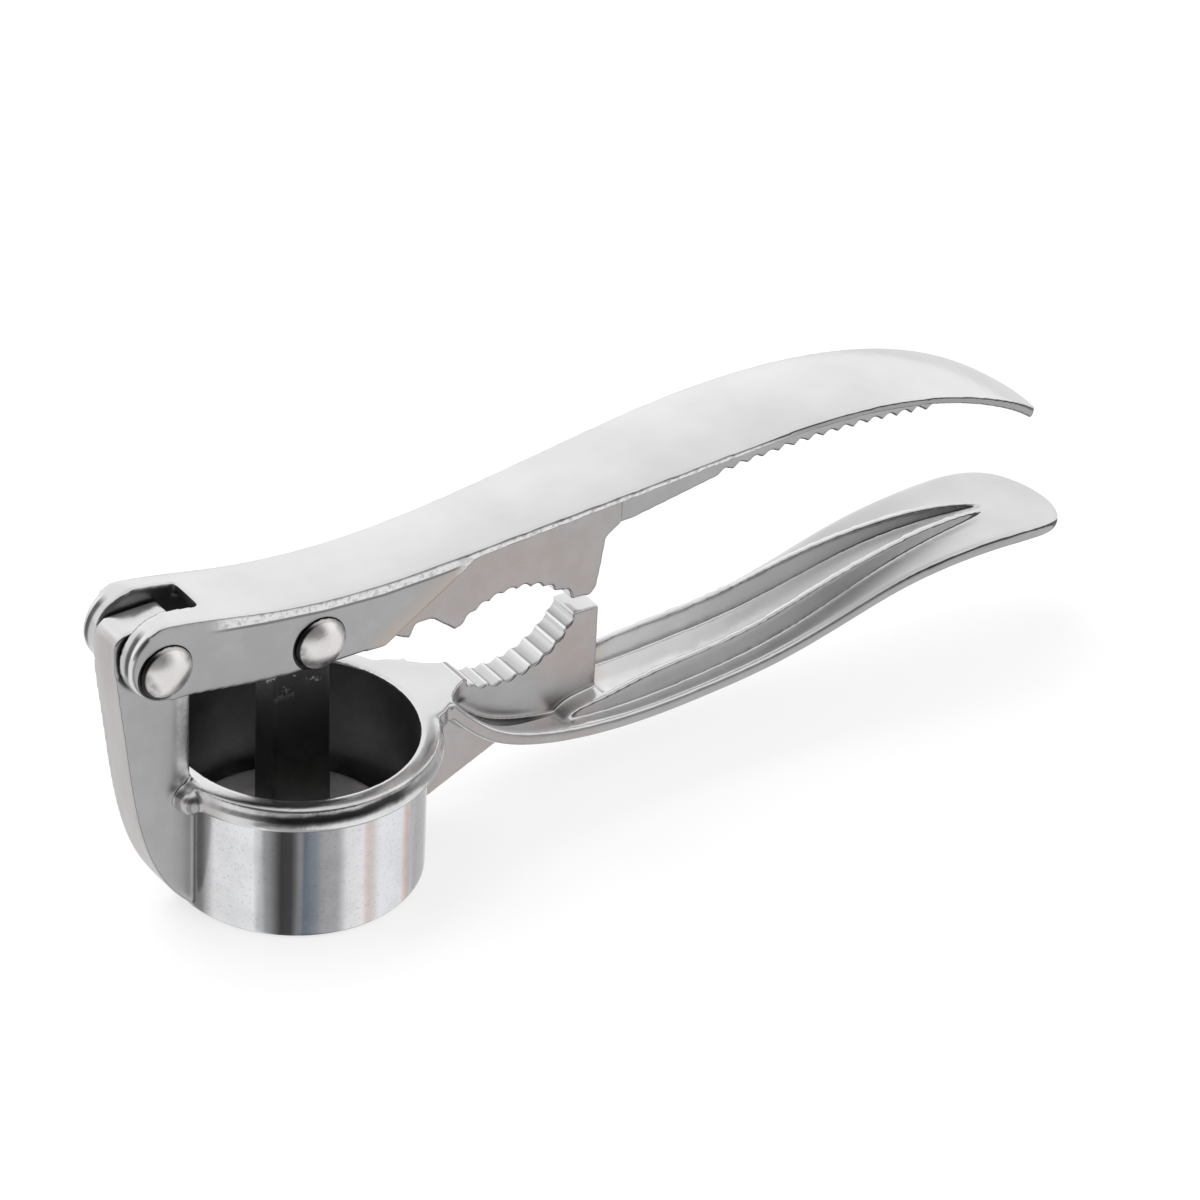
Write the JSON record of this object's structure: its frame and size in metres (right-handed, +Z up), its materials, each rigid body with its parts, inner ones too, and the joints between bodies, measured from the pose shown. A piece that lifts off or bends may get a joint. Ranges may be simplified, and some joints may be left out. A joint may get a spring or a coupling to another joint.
{
  "type": "nutcracker and garlic press",
  "caption": "Cast hand press with toothed nut jaws, a perforated cup and a hinged lever that carries a swinging plunger.",
  "frame": {"origin": "centre of the cup's flat bottom, which is where the tool stands", "axes": "+X from the cup towards the free ends of the two grips, +Z up along the cup, and Y = 0 is the plane of symmetry"},
  "size_m": [0.1716, 0.0432, 0.0549],
  "materials": {
    "body_chrome": "polished chrome plate on a zinc casting",
    "lever_chrome": "polished chrome plate on a zinc casting",
    "plunger_chrome": "polished chrome plate on a zinc casting",
    "rivet_steel": "polished steel"
  },
  "bodies": {
    "base": {"body_casting": "body_chrome"},
    "lever_arm": {"lever": "lever_chrome", "hinge_rivet": "rivet_steel", "plunger_rivet": "rivet_steel"},
    "press_foot": {"plunger": "plunger_chrome"}
  },
  "joints": [
    {"name": "lever_hinge", "type": "hinge", "parent": "base", "child": "lever_arm", "pos_m": [-0.0263, 0, 0.0471], "axis": [0, -1, 0], "range_deg": [0, 58]},
    {"name": "plunger_swing", "type": "hinge", "parent": "lever_arm", "child": "press_foot", "pos_m": [-0.0007, 0, 0.0429], "axis": [0, -1, 0], "range_deg": [-48, 0.2]}
  ],
  "couplings": [
    {"joint": "plunger_swing", "follows": "lever_hinge", "ratio": -0.82}
  ]
}
